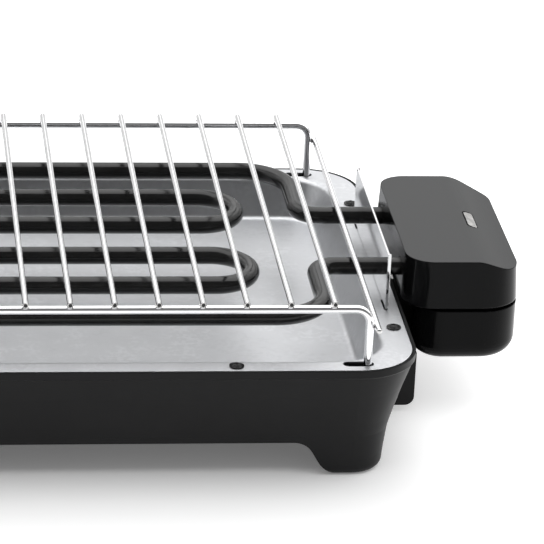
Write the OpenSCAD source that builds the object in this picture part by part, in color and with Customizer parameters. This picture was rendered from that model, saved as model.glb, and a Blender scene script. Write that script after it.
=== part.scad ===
// Tabletop electric grill: a moulded base with a screwed-in steel reflector
// tray, a lift-off control unit that carries the heating element and its heat
// shield, and a lift-off wire rack. Millimetres, +Z up. The origin lies on the
// table, at the middle of the whole footprint.

/* [Base] */
// Length of the base rim along X, without the control unit
base_len = 471.2; // [440:0.1:520]
// Depth of the base rim along Y
base_depth = 229.6; // [220:0.1:260]
// Height of the base from the table to the top of its rim
base_h = 53; // [50:1:70]
// Wall thickness of the base moulding
base_wall = 2.2; // [1.8:0.1:3]
// Corner radius of the rim, seen from above
rim_r = 26; // [24:1:30]
// Thickness of the rim lip round the tray
rim_lip = 1.1; // [0.8:0.1:2]
// Height of the bead under the top of the rim
rim_bead_h = 3; // [2:0.5:5]
// How far the bead stands out from the wall below it
rim_bead_out = 0.8; // [0.4:0.1:1.5]
// How far the wall leans in from the rim down to the table
wall_taper = 10.9; // [9:0.1:13]
// Height of the lower edge of the walls between the feet
arch_h = 16; // [14:0.5:18]
// Length of a foot along X at the table
foot_len = 18.2; // [17:0.2:28]
// Depth of a foot along Y at the table
foot_depth = 30; // [26:1:40]
// Radius of the curve between a foot and the lower edge of the wall
arch_r = 9; // [5:0.5:9]
// Radius of the rounded heel of a foot
heel_r = 13; // [6:0.5:14]
// Lean of the foot's flank away from the vertical
flank_lean = 30; // [20:1:35]

/* [Reflector tray] */
// Thickness of the tray sheet
sheet_t = 0.8; // [0.6:0.1:1.2]
// Gap between the tray and the rim lip
flange_gap = 0.5; // [0.2:0.05:0.5]
// Width of the tray flange at the short sides
flange_side = 13.2; // [12:0.1:16]
// Width of the tray flange at the long sides
flange_front = 10.9; // [10.5:0.1:14]
// Corner radius of the tub opening
tub_r = 20.5; // [18:0.5:24]
// Depth of the tub below the flange
tub_depth = 18; // [12:0.5:20]
// How far the tub walls lean in down to the floor
tub_draft = 5; // [3:0.5:6]
// Radius of the bends at the top and foot of the tub wall
tub_bend = 3; // [2:0.5:4]

/* [Tray screws] */
// Diameter of the screw's washer head
tray_head_d = 6.2; // [5:0.1:7]
// Diameter of the screw's shank
tray_shank_d = 2.9; // [2.5:0.1:3.1]
// Length of the screw under its head
tray_screw_len = 8; // [6:0.5:9]
// Distance from the rim's end to the screws on the long sides
screw_inset_x = 76.9; // [66:0.1:110]
// Distance from the control housing's side to the screws on the short sides
screw_beside = 18.5; // [12:0.5:24]

/* [Rack] */
// Diameter of the two frame wires
rail_d = 3.5; // [3:0.1:4]
// Diameter of the grate rods
rod_d = 2.5; // [2:0.1:3]
// Distance from a rack leg to the outermost grate rod
rod_end = 15; // [10:0.5:24]
// Number of grate rods
rod_count = 23; // [3:2:23]
// Height of the frame wires above the tray flange
rail_h = 24.5; // [22:0.5:40]
// Distance from the rim's end to each rack leg
leg_inset = 22.6; // [22.6:0.1:25]
// Distance from the rim's side to each frame wire
rail_inset = 8; // [7.8:0.1:8.3]
// Bend radius of the frame wires
rail_bend = 6; // [4:0.5:10]
// How far the rods run past the frame wires
rod_over = 2.6; // [1:0.1:4]
// How far the side rods run past the front frame wire
side_rod_front = 6; // [1:0.5:6]
// How far the side rods run past the rear frame wire
side_rod_rear = 1; // [0:0.5:6]
// Height of the side rods above the tray flange
side_rod_h = 17.2; // [17:0.1:19]
// How far the legs reach below the tray flange
leg_reach = 8; // [5:0.5:9]
// Length of the slots that the legs stand in
leg_slot_len = 12.8; // [10:0.1:14]
// Width of the slots that the legs stand in
leg_slot_w = 5; // [4.4:0.1:5.2]

/* [Heating element] */
// Diameter of the element tube
tube_d = 7.6; // [6.5:0.1:8]
// Height of the tube's centre line above the tray flange
tube_h = 11; // [8:0.5:11.5]
// Distance from the rim's side to the two outer runs
outer_run_inset = 31.8; // [31:0.1:36]
// Place of the two middle runs, as a share of the outer runs' place
run_1_share = 0.208; // [0.19:0.002:0.22]
// Place of the next two runs, as a share of the outer runs' place
run_2_share = 0.602; // [0.58:0.002:0.62]
// Distance from the control housing's side to each cold end
cold_inset = 22.5; // [20:0.5:25.5]
// Distance from the rim's end to the two cross stretches
cross_inset = 36.1; // [33:0.1:41]
// Distance from the cross stretches to the centres of the inner right bends
right_bend_gap = 44; // [40:0.5:60]
// Distance from the rim's end to the centres of the left bends
left_bend_inset = 55.6; // [51:0.1:76]
// Bend radius where the outer runs turn into the cross stretches
corner_r = 22; // [16:0.5:26]
// Bend radius where the cross stretches turn into the cold ends
elbow_r = 9; // [7:0.5:12]
// Distance from the left bends' centres to the support strap
support_gap = 60; // [30:1:120]
// Width of the support strap
support_w = 8; // [6:0.5:12]
// Thickness of the support strap
support_t = 1; // [0.8:0.1:1.5]

/* [Heat shield] */
// Distance from the rim's end to the heat shield
shield_inset = 7.2; // [6.6:0.1:9.6]
// Thickness of the heat shield
shield_t = 0.8; // [0.6:0.1:1]
// How much shorter the heat shield is than the control housing
shield_short = 1; // [0:0.5:7]
// Height of the heat shield's top edge above the tray flange
shield_h = 25.3; // [22:0.5:34]
// Length of each locating tab
tab_len = 10; // [6:0.5:12]
// Depth of the fold at each end of the shield
fold_w = 1.4; // [1:0.1:3]
// How far the tabs reach below the tray flange
tab_reach = 4; // [2:0.5:6]

/* [Control housing] */
// Gap between the upper shell and the base rim
housing_gap = 0.6; // [0.4:0.1:1.5]
// Width of the housing along X
housing_w = 51.2; // [50:0.1:60]
// Depth of the housing along Y
housing_depth = 103; // [96:1:112]
// Height of the housing's top above the tray flange
housing_top = 21.5; // [20:0.5:26]
// Height of the housing from its underside to its top
housing_h = 46; // [44:0.5:48]
// Height of the lower edge of the upper shell above the tray flange
parting_h = 0.6; // [0:0.1:1.5]
// Height of the groove between the shells
groove_h = 1.7; // [1:0.1:2.5]
// Wall thickness of the two shells
shell_wall = 2.2; // [1.8:0.1:2.6]
// Plan corner radius next to the base
near_r = 13; // [10:0.5:14]
// Plan corner radius at the outer side
far_r = 17; // [14:0.5:18]
// Width of the sloping shoulder at the outer side
shoulder_w = 19.5; // [14:0.5:20]
// Draft of the upper shell's sides over their height
side_draft = 1.2; // [0.4:0.1:2]
// Drop of the shoulder at the outer side
shoulder_drop = 5.5; // [3:0.1:6]
// How far the lower shell stands back from the upper one next to the base
lower_step = 5.5; // [5:0.1:6]
// Radius of the lower shell's bottom edges
belly_r = 7.5; // [5:0.5:9.5]
// Width of the longer rounding under the lower shell's outer side
belly_reach = 17; // [10:0.5:20]
// Height of the longer rounding under the lower shell's outer side
belly_rise = 10.5; // [9.5:0.5:12]

/* [Housing fittings] */
// Length of the indicator lens
lens_len = 16.6; // [12:0.1:18]
// Width of the indicator lens
lens_w = 4; // [3:0.1:4.4]
// Diameter of the indicator lamp
lamp_d = 6; // [5:0.1:6.4]
// Diameter of the switch plunger
plunger_d = 3; // [2.6:0.1:3.2]
// Travel of the switch plunger
plunger_travel = 2.4; // [1.5:0.1:2.5]
// Diameter of the thermal cut-out
cutout_d = 14; // [12:0.5:14]
// Diameter of the bore in the cord inlet bush
inlet_d = 6.6; // [6:0.1:7]

/* [Support ledge] */
// How much shorter the ledge is than the control housing above it
ledge_short = 21; // [13:1:35]
// How far the ledge stands out past the base rim
ledge_out = 9.2; // [6:0.1:10]
// Height of the underside of the ledge above the table
ledge_clear = 3.5; // [2:0.1:6]
// Radius of the outer lower edge of the ledge
ledge_r = 4; // [2:0.5:5]

/* [Hidden] */
$fn = 48;

// Colours as seen
black_plastic = "#262728";
steel_grey = "#c8c9cb";
chrome_white = "#e8e9ea";
element_black = "#33312f";
shell_grey = "#4c4e50";
screw_black = "#1c1c1d";
lens_pale = "#d5d3cf";
ceramic_white = "#ece8df";
lamp_amber = "#e08a4a";
plunger_brass = "#c9a13b";
blue_wire = "#3d5f9a";

// Fits and clearances shared by several pieces
overrun = 1;
part_gap = 0.3;
touch_gap = 0.05;
bore_gap = 0.3;

// Places that follow from the sizes above
base_x = base_len / 2;
base_y = base_depth / 2;
corner_x = base_x - rim_r;
corner_y = base_y - rim_r;
housing_x0 = base_x + housing_gap;
housing_x1 = housing_x0 + housing_w;
housing_y = housing_depth / 2;
// The footprint runs from the left rim to the outer side of the housing
shift_x = (base_x - housing_x1) / 2;
flange_x = base_x - rim_lip - flange_gap;
flange_y = base_y - rim_lip - flange_gap;
flange_r = rim_r - rim_lip - flange_gap;
tub_x = flange_x - flange_side;
tub_y = flange_y - flange_front;
tub_floor_z = base_h - tub_depth;
tray_screw_x = base_x - screw_inset_x;
tray_screw_y = housing_y + screw_beside;
leg_x = base_x - leg_inset;
rail_y = base_y - rail_inset;
rod_pitch = 2 * (leg_x - rod_end) / (rod_count - 1);
run_3 = base_y - outer_run_inset;
run_2 = run_3 * run_2_share;
run_1 = run_3 * run_1_share;
cold_end_y = housing_y - cold_inset;
cross_x = base_x - cross_inset;
right_bend_x = cross_x - right_bend_gap;
left_bend_x = base_x - left_bend_inset;
support_x = left_bend_x - support_gap;
strap_over = 0.2;
support_reach = run_3 + tube_d / 2 + strap_over;
shield_x = base_x - shield_inset;
shield_len = housing_depth - shield_short;
ledge_len = housing_depth - ledge_short;
tube_z = base_h + tube_h;
rail_z = base_h + rail_h;
side_rod_z = base_h + side_rod_h;

// Outline of the base wall, as shares of base_h down from the rim and shares
// of wall_taper inwards from the bead
wall_shares = [[0.27, 0.33], [0.4, 0.52], [0.54, 0.72], [0.65, 0.86],
    [0.77, 0.93], [0.86, 0.98], [0.92, 1]];
toe_share = 0.075;

// Ledge inside the rim that carries the tray flange
rim_ledge_t = 2;
mouth_gap = 2.6;
// Shelf under each rack leg
leg_shelf_t = 2;
leg_shelf_w = 13;
leg_shelf_d = 12;
// Bosses for the tray screws
tray_boss_d = 7;
tray_boss_floor = 1.8;
tray_boss_h = tray_screw_len + tray_boss_floor - sheet_t;
tray_screw_inset_y = 4.5;
tray_screw_inset_x = 4.9;
// Domed head of the tray screws
washer_t = 0.5;
dome_d = 4.7;
dome_h = 1.1;
recess_w = 0.8;
recess_l = 2.6;
recess_t = 0.7;
// Wall and bottom of the hollow feet
foot_floor = 2.4;

// Slots for the shield's tabs
tab_slot_w = 1.6;
tab_slot_play = 1.2;
tab_end_inset = 0.6;

// Control housing
housing_z1 = base_h + housing_top;
housing_z0 = housing_z1 - housing_h;
upper_z0 = base_h + parting_h;
lower_z1 = upper_z0 - groove_h;
floor_z = housing_z0 + shell_wall;
lip_inset = shell_wall + part_gap;
lip_t = 1.5;
lip_h = 3;
shoulder_steps = 16;
belly_steps = 12;
boss_d = 7;
boss_inset_near = 13.5;
boss_inset_far = 9.6;
boss_inset_y = 13.5;
boss_sink = 0.6;
case_screw_d = 3;
case_head_d = 5.4;
case_head_t = 1.8;
case_screw_len = 22;
counterbore_h = 4;
counterbore_d = 6;
boss_x_near = housing_x0 + boss_inset_near;
boss_x_far = housing_x1 - boss_inset_far;
boss_y = housing_y - boss_inset_y;

// Bracket that holds the element's cold ends
bracket_boss_l = 4;
bracket_boss_d = 6;
bracket_boss_y = 12;
bracket_t = 1.2;
bracket_end = 6.5;
bracket_len = 2 * (cold_end_y + bracket_end);
bracket_h = 14;
bracket_screw_d = 2.6;
bracket_head_d = 5;
bracket_head_t = 1.7;
bracket_screw_len = 4.8;
bracket_x0 = housing_x0 + shell_wall + bracket_boss_l;
bracket_x1 = bracket_x0 + bracket_t;
// Cold ends, insulators and pins
end_reach = 4;
tube_end_x = bracket_x1 + end_reach;
insulator_d = 7;
insulator_l = 4.4;
pin_d = 2.4;
pin_l = 10.5;
pin_end_x = tube_end_x + pin_l;
// Thermal cut-out
cutout_t = 9;
cutout_rim_t = 1.6;
cutout_rim_d = 1.4;
blade_w = 4.8;
blade_t = 0.8;
blade_l = 5;
blade_y = 3.6;

// Indicator
lens_share = 0.693;
lens_x = housing_x0 + lens_share * housing_w;
lens_r_share = 0.36;
lens_gap = 0.35;
lens_flange_w = 6.2;
lens_flange_t = 0.8;
lens_flange_drop = 4.4;
lamp_len = 17;
pocket_wall = 1.4;
pocket_drop = 12.5;
pocket_z0 = housing_z1 - pocket_drop;
lens_flange_z = housing_z1 - lens_flange_drop;
lamp_z = lens_flange_z - lens_flange_t - part_gap - lamp_d / 2;

// Terminal block on the floor of the lower shell
block_w = 12;
block_len = 24;
block_h = 11;
block_ways = 3;
block_offset = 5.4;
block_x = pin_end_x + block_offset;
block_y = cold_end_y - block_len / block_ways;
block_screw_d = 3;
block_screw_h = 1.2;
block_screw_x = 1;
block_groove = 1.2;
block_groove_h = 5;

// Safety switch and its plunger
switch_w = 6.4;
switch_len = 20;
switch_h = 10;
switch_from_boss = 20;
switch_y = boss_y - switch_from_boss;
collar_d = 4.4;
collar_t = 1.2;
collar_room = 1.4;
switch_z0 = floor_z + collar_room + plunger_travel + collar_t + part_gap;
plunger_gap = 0.05;
// The plunger stands clear of the rounding inside the lower shell
plunger_x = housing_x0 + lower_step + max(belly_r, shell_wall + touch_gap + switch_w / 2);
plunger_from_middle = 4;
plunger_y = switch_y + plunger_from_middle;

// Cord inlet bush
bush_d = 9.2;
bush_flange_d = 12;
bush_rise = 14.4;
bush_x = housing_x0 + lower_step + near_r + bush_flange_d / 2;
bush_z = housing_z0 + bush_rise;
bush_flange_t = 2;
bush_inner_t = 1.6;

// Lead wires
wire_d = 2.2;
wire_bend_r = 3;
wire_lead = 1.5;
far_lane = 3.5;
low_lane = 13;

// Support ledge under the housing
ledge_x1 = base_x + ledge_out;
ledge_x0 = base_x - wall_taper;
ledge_z1 = housing_z0 - part_gap;
// Tongue of the ledge under the switch plunger
tongue_w = 8;
tongue_t = 3;

// Points of an arc about c of radius r, from angle a0 to angle a1
function arc(c, r, a0, a1, n = 8) = [for (i = [0 : n])
    let (a = a0 + (a1 - a0) * i / n) [c[0] + r * cos(a), c[1] + r * sin(a)]];

// Reach of the base wall from the corner centre, for a wall of inset w
function wall_points(w) = concat(
    [for (i = [len(wall_shares) - 1 : -1 : 0])
        [rim_r - rim_bead_out - wall_taper * wall_shares[i][1] - w,
            base_h * (1 - wall_shares[i][0])]],
    [[rim_r - rim_bead_out - w, base_h - rim_bead_h - rim_bead_out]]);

// Drop of the housing's top at a share of the shoulder's width
function shoulder_fall(share) = shoulder_drop * (1 - cos(180 * share)) / 2;

// Puts the base's middle at its place beside the origin
module placed() {
    translate([shift_x, 0, 0]) children();
}

// Copies at both ends along X and Y
module four_ways() {
    for (mx = [0, 1]) {
        for (my = [0, 1]) {
            mirror([mx, 0, 0]) mirror([0, my, 0]) children();
        }
    }
}

module front_and_rear() {
    for (my = [0, 1]) {
        mirror([0, my, 0]) children();
    }
}

module left_and_right() {
    for (mx = [0, 1]) {
        mirror([mx, 0, 0]) children();
    }
}

// Rectangle with round corners, given by its half sizes
module round_rect(hx, hy, r) {
    square([2 * hx - 2 * r, 2 * hy], center = true);
    square([2 * hx, 2 * hy - 2 * r], center = true);
    four_ways() translate([hx - r, hy - r]) circle(r);
}

// Solid whose corners turn the child outline about the corner centres
module round_sweep(cx, cy) {
    four_ways() translate([cx, cy, 0]) rotate_extrude(angle = 90) children();
    front_and_rear() translate([-cx, cy, 0]) rotate([90, 0, 90])
        linear_extrude(2 * cx) children();
    left_and_right() translate([cx, cy, 0]) rotate([90, 0, 0])
        linear_extrude(2 * cy) children();
}

// Slot with round ends along X
module slot_outline(l, w) {
    square([l - w, w], center = true);
    left_and_right() translate([(l - w) / 2, 0]) circle(w / 2);
}

// Outline of an arch between two feet that meet the table at half width a
module arch_outline(a) {
    drop = arch_h - (arch_r + heel_r) * (1 - sin(flank_lean));
    crown = a - (arch_r + heel_r) * cos(flank_lean) - drop * tan(flank_lean);
    polygon(concat(
        [[-a, -overrun], [a, -overrun]],
        arc([a, heel_r], heel_r, 270, 180 + flank_lean),
        arc([crown, arch_h - arch_r], arch_r, flank_lean, 90),
        arc([-crown, arch_h - arch_r], arch_r, 90, 180 - flank_lean),
        arc([-a, heel_r], heel_r, -flank_lean, -90)));
}

// Base without its hollow: walls, rim and feet as one tapered block
module base_block() {
    toe = rim_r - rim_bead_out - wall_taper;
    toe_r = base_h * toe_share;
    round_sweep(corner_x, corner_y) polygon(concat(
        [[0, 0]], arc([toe - toe_r, toe_r], toe_r, 270, 360, 5), wall_points(0),
        [[rim_r, base_h - rim_bead_h], [rim_r, base_h], [0, base_h]]));
    translate([0, 0, base_h / 2]) cube([2 * corner_x, 2 * corner_y, base_h], center = true);
}

// Hollow of the base, from height z0 to height z1
module base_hollow(z0, z1) {
    intersection() {
        union() {
            round_sweep(corner_x, corner_y) polygon(concat(
                [[0, 0]], [[rim_r - rim_bead_out - wall_taper - base_wall, 0]],
                wall_points(base_wall), [[0, base_h - rim_bead_h - rim_bead_out]]));
            translate([0, 0, base_h / 2]) cube([2 * corner_x, 2 * corner_y, base_h], center = true);
        }
        translate([-base_x, -base_y, z0]) cube([base_len, base_depth, z1 - z0]);
    }
}

module leg_slot_place() {
    four_ways() translate([leg_x + rail_d / 2 + part_gap * 3 - leg_slot_len / 2, rail_y, 0])
        children();
}

module tray_screw_places() {
    four_ways() translate([tray_screw_x, flange_y - tray_screw_inset_y, 0]) children();
    four_ways() translate([flange_x - tray_screw_inset_x, tray_screw_y, 0]) children();
}

module tab_slot_place() {
    front_and_rear() translate([shield_x, shield_len / 2 - tab_end_inset - tab_len / 2, 0]) children();
}

module tab_slot(h) {
    translate([0, tab_slot_play / 4, 0])
        cube([tab_slot_w, tab_len + tab_slot_play, h], center = true);
}

// Ledge under the control housing, hollow from below, with a tongue that
// keeps the switch plunger pressed in
module support_ledge() {
    difference() {
        rotate([90, 0, 0]) linear_extrude(ledge_len, center = true) polygon(concat(
            [[ledge_x0, ledge_clear]],
            arc([ledge_x1 - ledge_r, ledge_clear + ledge_r], ledge_r, -90, 0),
            [[ledge_x1, ledge_z1], [ledge_x0, ledge_z1]]));
        translate([(ledge_x0 + ledge_x1) / 2, 0, (ledge_clear + ledge_z1) / 2 - base_wall])
            cube([ledge_x1 - ledge_x0 - 2 * base_wall, ledge_len - 2 * base_wall,
                ledge_z1 - ledge_clear], center = true);
    }
    translate([ledge_x1 - base_wall, plunger_y - tongue_w / 2, ledge_z1 - tongue_t])
        cube([plunger_x + tongue_w / 2 - ledge_x1 + base_wall, tongue_w, tongue_t]);
}

module base_inner_parts() {
    intersection() {
        base_block();
        union() {
            tray_screw_places() translate([0, 0, base_h - sheet_t - tray_boss_h])
                cylinder(d = tray_boss_d, h = tray_boss_h);
            four_ways() translate([leg_x - leg_shelf_w / 2, rail_y - rail_d,
                base_h - leg_reach - part_gap - leg_shelf_t])
                cube([leg_shelf_w, leg_shelf_d, leg_shelf_t]);
        }
    }
}

module base_shell() {
    color(black_plastic) placed() difference() {
        union() {
            difference() {
                base_block();
                base_hollow(arch_h + base_wall, base_h - sheet_t - rim_ledge_t);
                four_ways() intersection() {
                    base_hollow(foot_floor, arch_h + base_wall + overrun);
                    translate([base_x - wall_taper - foot_len + base_wall,
                        base_y - wall_taper - foot_depth + base_wall, 0])
                        cube([foot_len, foot_depth, base_h]);
                }
            }
            base_inner_parts();
            support_ledge();
        }
        translate([0, 0, base_h - sheet_t - rim_ledge_t - overrun])
            linear_extrude(rim_ledge_t + sheet_t + 2 * overrun)
            round_rect(tub_x + mouth_gap, tub_y + mouth_gap, tub_r + mouth_gap);
        translate([0, 0, base_h - sheet_t]) linear_extrude(sheet_t + overrun)
            round_rect(base_x - rim_lip, base_y - rim_lip, rim_r - rim_lip);
        tray_screw_places() translate([0, 0, base_h - tray_screw_len - part_gap])
            cylinder(d = tray_shank_d + 2 * touch_gap, h = tray_screw_len + part_gap);
        leg_slot_place() translate([0, 0, base_h - sheet_t - rim_ledge_t - overrun])
            linear_extrude(rim_ledge_t + 2 * overrun) slot_outline(leg_slot_len, leg_slot_w);
        tab_slot_place() translate([0, 0, base_h - rim_ledge_t]) tab_slot(tab_reach + 2 * overrun);
        rotate([90, 0, 0]) linear_extrude(base_depth + 2 * overrun, center = true)
            arch_outline(base_x - wall_taper - foot_len);
        difference() {
            rotate([90, 0, 90]) linear_extrude(base_len + 2 * overrun, center = true)
                arch_outline(base_y - wall_taper - foot_depth);
            translate([ledge_x0, -ledge_len / 2, 0]) cube([ledge_x1 - ledge_x0, ledge_len, base_h]);
        }
    }
}

// Tub wall in section: top bend, leaning wall and foot bend, one sheet thick
module tub_section(t) {
    top_r = tub_r + tub_bend;
    low_r = tub_r - tub_draft;
    across = tub_draft + 2 * tub_bend;
    down = tub_depth - 2 * tub_bend;
    lean = atan2(across, down) - asin(2 * tub_bend / norm([across, down]));
    polygon(concat(
        arc([top_r, base_h - tub_bend], tub_bend, 90, 180 - lean),
        arc([low_r - tub_bend, tub_floor_z + tub_bend], tub_bend, -lean, -90),
        arc([low_r - tub_bend, tub_floor_z + tub_bend], tub_bend + t, -90, -lean),
        arc([top_r, base_h - tub_bend], tub_bend - t, 180 - lean, 90)));
}

module reflector_tray() {
    tub_cx = tub_x - tub_r;
    tub_cy = tub_y - tub_r;
    floor_r = tub_r - tub_draft - tub_bend;
    color(steel_grey) placed() difference() {
        union() {
            translate([0, 0, base_h - sheet_t]) linear_extrude(sheet_t) difference() {
                round_rect(flange_x, flange_y, flange_r);
                round_rect(tub_x + tub_bend, tub_y + tub_bend, tub_r + tub_bend);
            }
            round_sweep(tub_cx, tub_cy) tub_section(sheet_t);
            translate([0, 0, tub_floor_z - sheet_t]) linear_extrude(sheet_t)
                round_rect(tub_cx + floor_r, tub_cy + floor_r, floor_r);
        }
        translate([0, 0, base_h]) tray_screw_places()
            cylinder(d = tray_shank_d + bore_gap, h = 2 * sheet_t + 2 * overrun, center = true);
        leg_slot_place() translate([0, 0, base_h - sheet_t - overrun])
            linear_extrude(sheet_t + 2 * overrun) slot_outline(leg_slot_len, leg_slot_w);
        tab_slot_place() translate([0, 0, base_h]) tab_slot(2 * sheet_t + overrun);
    }
}

// Domed washer-head screw with its seat at the origin, pointing down
module dome_screw() {
    ball_r = (dome_d * dome_d / 4 + dome_h * dome_h) / (2 * dome_h);
    difference() {
        union() {
            cylinder(d = tray_head_d, h = washer_t);
            intersection() {
                translate([0, 0, washer_t + dome_h - ball_r]) sphere(ball_r);
                cylinder(d = dome_d, h = washer_t + dome_h + overrun);
            }
            translate([0, 0, -tray_screw_len]) cylinder(d = tray_shank_d, h = tray_screw_len);
        }
        for (a = [0, 90]) {
            rotate([0, 0, a]) translate([0, 0, washer_t + dome_h])
                cube([recess_l, recess_w, 2 * recess_t], center = true);
        }
    }
}

module tray_screws() {
    color(screw_black) placed() tray_screw_places() translate([0, 0, base_h]) dome_screw();
}

// Frame wire of the rack: a rail with a leg bent down at each end
module rack_wire() {
    leg_z0 = base_h - leg_reach;
    translate([0, rail_y, rail_z]) rotate([0, 90, 0])
        cylinder(d = rail_d, h = 2 * (leg_x - rail_bend), center = true);
    left_and_right() {
        translate([leg_x, rail_y, leg_z0]) cylinder(d = rail_d, h = rail_z - rail_bend - leg_z0);
        translate([leg_x - rail_bend, rail_y, rail_z - rail_bend]) rotate([90, 0, 0])
            rotate_extrude(angle = 90) translate([rail_bend, 0]) circle(d = rail_d);
    }
}

module rack_front_wire() {
    color(chrome_white) placed() mirror([0, 1, 0]) rack_wire();
}

module rack_rear_wire() {
    color(chrome_white) placed() rack_wire();
}

module grate_rods() {
    color(chrome_white) placed() for (i = [0 : rod_count - 1]) {
        translate([(i - (rod_count - 1) / 2) * rod_pitch, 0,
            rail_z + (rail_d + rod_d) / 2 + touch_gap]) rotate([90, 0, 0])
            cylinder(d = rod_d, h = 2 * (rail_y + rod_over), center = true);
    }
}

module rack_side_rods() {
    color(chrome_white) placed() left_and_right()
        translate([leg_x + (rail_d + rod_d) / 2 + touch_gap, rail_y + side_rod_rear, side_rod_z])
        rotate([90, 0, 0])
        cylinder(d = rod_d, h = 2 * rail_y + side_rod_rear + side_rod_front);
}

// Straight tube along X at depth y
module tube_run(x0, x1, y) {
    translate([x0, y, 0]) rotate([0, 90, 0]) cylinder(d = tube_d, h = x1 - x0);
}

// Part turn of tube of radius r about a centre, from angle a over span s
module tube_turn(x, y, r, a, s) {
    translate([x, y, 0]) rotate([0, 0, a]) rotate_extrude(angle = s)
        translate([r, 0]) circle(d = tube_d);
}

module heating_element() {
    color(element_black) placed() translate([0, 0, tube_z]) {
        front_and_rear() {
            tube_run(cross_x + elbow_r, tube_end_x, cold_end_y);
            tube_turn(cross_x + elbow_r, cold_end_y + elbow_r, elbow_r, 180, 90);
            translate([cross_x, run_3 - corner_r, 0]) rotate([90, 0, 0])
                cylinder(d = tube_d, h = run_3 - corner_r - cold_end_y - elbow_r);
            tube_turn(cross_x - corner_r, run_3 - corner_r, corner_r, 0, 90);
            tube_run(-left_bend_x, cross_x - corner_r, run_3);
            tube_turn(-left_bend_x, (run_2 + run_3) / 2, (run_3 - run_2) / 2, 90, 180);
            tube_run(-left_bend_x, right_bend_x, run_2);
            tube_turn(right_bend_x, (run_1 + run_2) / 2, (run_2 - run_1) / 2, -90, 180);
            tube_run(-left_bend_x, right_bend_x, run_1);
        }
        tube_turn(-left_bend_x, 0, run_1, 90, 180);
    }
}

// Strap across the tray that carries the free end of the element
module element_support() {
    top_z = tube_z - tube_d / 2 - touch_gap;
    color(steel_grey) placed() translate([-support_x - support_w / 2, 0, 0]) {
        translate([0, -support_reach, top_z - support_t])
            cube([support_w, 2 * support_reach, support_t]);
        front_and_rear() translate([0, support_reach - support_t, tub_floor_z + part_gap])
            cube([support_w, support_t, top_z - tub_floor_z - part_gap]);
    }
}

module heat_shield() {
    color(steel_grey) placed() difference() {
        union() {
            translate([shield_x, 0, base_h + (shield_h + part_gap) / 2])
                cube([shield_t, shield_len, shield_h - part_gap], center = true);
            front_and_rear() translate([shield_x - shield_t / 2, shield_len / 2 - shield_t,
                base_h + fold_w]) cube([fold_w, shield_t, shield_h - fold_w]);
            tab_slot_place() translate([0, 0, base_h + (part_gap - tab_reach) / 2 + touch_gap])
                cube([shield_t, tab_len, tab_reach + part_gap + touch_gap], center = true);
        }
        front_and_rear() translate([shield_x, cold_end_y, tube_z]) rotate([0, 90, 0])
            cylinder(d = tube_d + 2 * touch_gap, h = shield_t + overrun, center = true);
    }
}

// Steel plate inside the housing that clamps the element's two cold ends
module mounting_bracket() {
    color(steel_grey) placed() difference() {
        translate([bracket_x0, -bracket_len / 2, tube_z - bracket_h / 2])
            cube([bracket_t, bracket_len, bracket_h]);
        front_and_rear() translate([bracket_x0, 0, tube_z]) rotate([0, 90, 0]) {
            translate([0, cold_end_y, -overrun])
                cylinder(d = tube_d + 2 * touch_gap, h = bracket_t + 2 * overrun);
            translate([0, bracket_boss_y, -overrun])
                cylinder(d = bracket_screw_d + bore_gap, h = bracket_t + 2 * overrun);
        }
    }
}

module bracket_screws() {
    color(steel_grey) placed() front_and_rear() translate([bracket_x1, bracket_boss_y, tube_z])
        rotate([0, 90, 0]) {
            cylinder(d = bracket_head_d, h = bracket_head_t);
            translate([0, 0, -bracket_screw_len])
                cylinder(d = bracket_screw_d, h = bracket_screw_len);
        }
}

module terminal_pins() {
    color(steel_grey) placed() front_and_rear() translate([tube_end_x, cold_end_y, tube_z])
        rotate([0, 90, 0]) cylinder(d = pin_d, h = pin_l);
}

module terminal_insulators() {
    color(ceramic_white) placed() front_and_rear() translate([tube_end_x, cold_end_y, tube_z])
        rotate([0, 90, 0]) difference() {
            cylinder(d = insulator_d, h = insulator_l);
            translate([0, 0, -overrun])
                cylinder(d = pin_d + 2 * touch_gap, h = insulator_l + 2 * overrun);
        }
}

// Plan of the housing drawn in by w, starting at x0
module housing_plan(x0, w) {
    for (my = [0, 1]) {
        mirror([0, my]) {
            translate([x0 + near_r, housing_y - near_r]) circle(near_r - w);
            translate([housing_x1 - far_r, housing_y - far_r]) circle(far_r - w);
        }
    }
    translate([x0 + near_r, -housing_y + w])
        square([housing_x1 - far_r - x0 - near_r, housing_depth - 2 * w]);
    translate([x0 + w, near_r - housing_y]) square([near_r, housing_depth - 2 * near_r]);
    translate([housing_x1 - far_r, far_r - housing_y])
        square([far_r - w, housing_depth - 2 * far_r]);
}

// Block under the housing's top surface, drawn in by w
module under_top(w) {
    x_start = housing_x1 - side_draft - shoulder_w - w;
    rotate([90, 0, 0])
        linear_extrude(housing_depth + overrun, center = true) polygon(concat(
            [[housing_x0 - overrun, housing_z0], [housing_x0 - overrun, housing_z1 - w]],
            [for (i = [0 : shoulder_steps]) [x_start + shoulder_w * i / shoulder_steps,
                housing_z1 - w - shoulder_fall(i / shoulder_steps)]],
            [[housing_x1 + overrun, housing_z1 - w - shoulder_drop],
                [housing_x1 + overrun, housing_z0]]));
}

// Block on the housing's plan from height z0 to height z1, starting at x0: the
// first child is the section of its near corners, the second of its far ones
module plan_block(x0, z0, z1) {
    xn = x0 + near_r;
    xf = housing_x1 - far_r;
    yn = housing_y - near_r;
    yf = housing_y - far_r;
    front_and_rear() {
        translate([xn, yn, 0]) rotate([0, 0, 90]) rotate_extrude(angle = 90) children(0);
        translate([xf, yf, 0]) rotate_extrude(angle = 90) children(1);
        translate([xn, yn, 0]) rotate([90, 0, 90]) linear_extrude(xf - xn) children(0);
    }
    translate([xn, -yn, 0]) rotate([90, 0, 180]) linear_extrude(2 * yn) children(0);
    translate([xf, yf, 0]) rotate([90, 0, 0]) linear_extrude(2 * yf) children(1);
    translate([xn, -yn, z0]) cube([xf - xn, 2 * yn, z1 - z0]);
}

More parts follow.
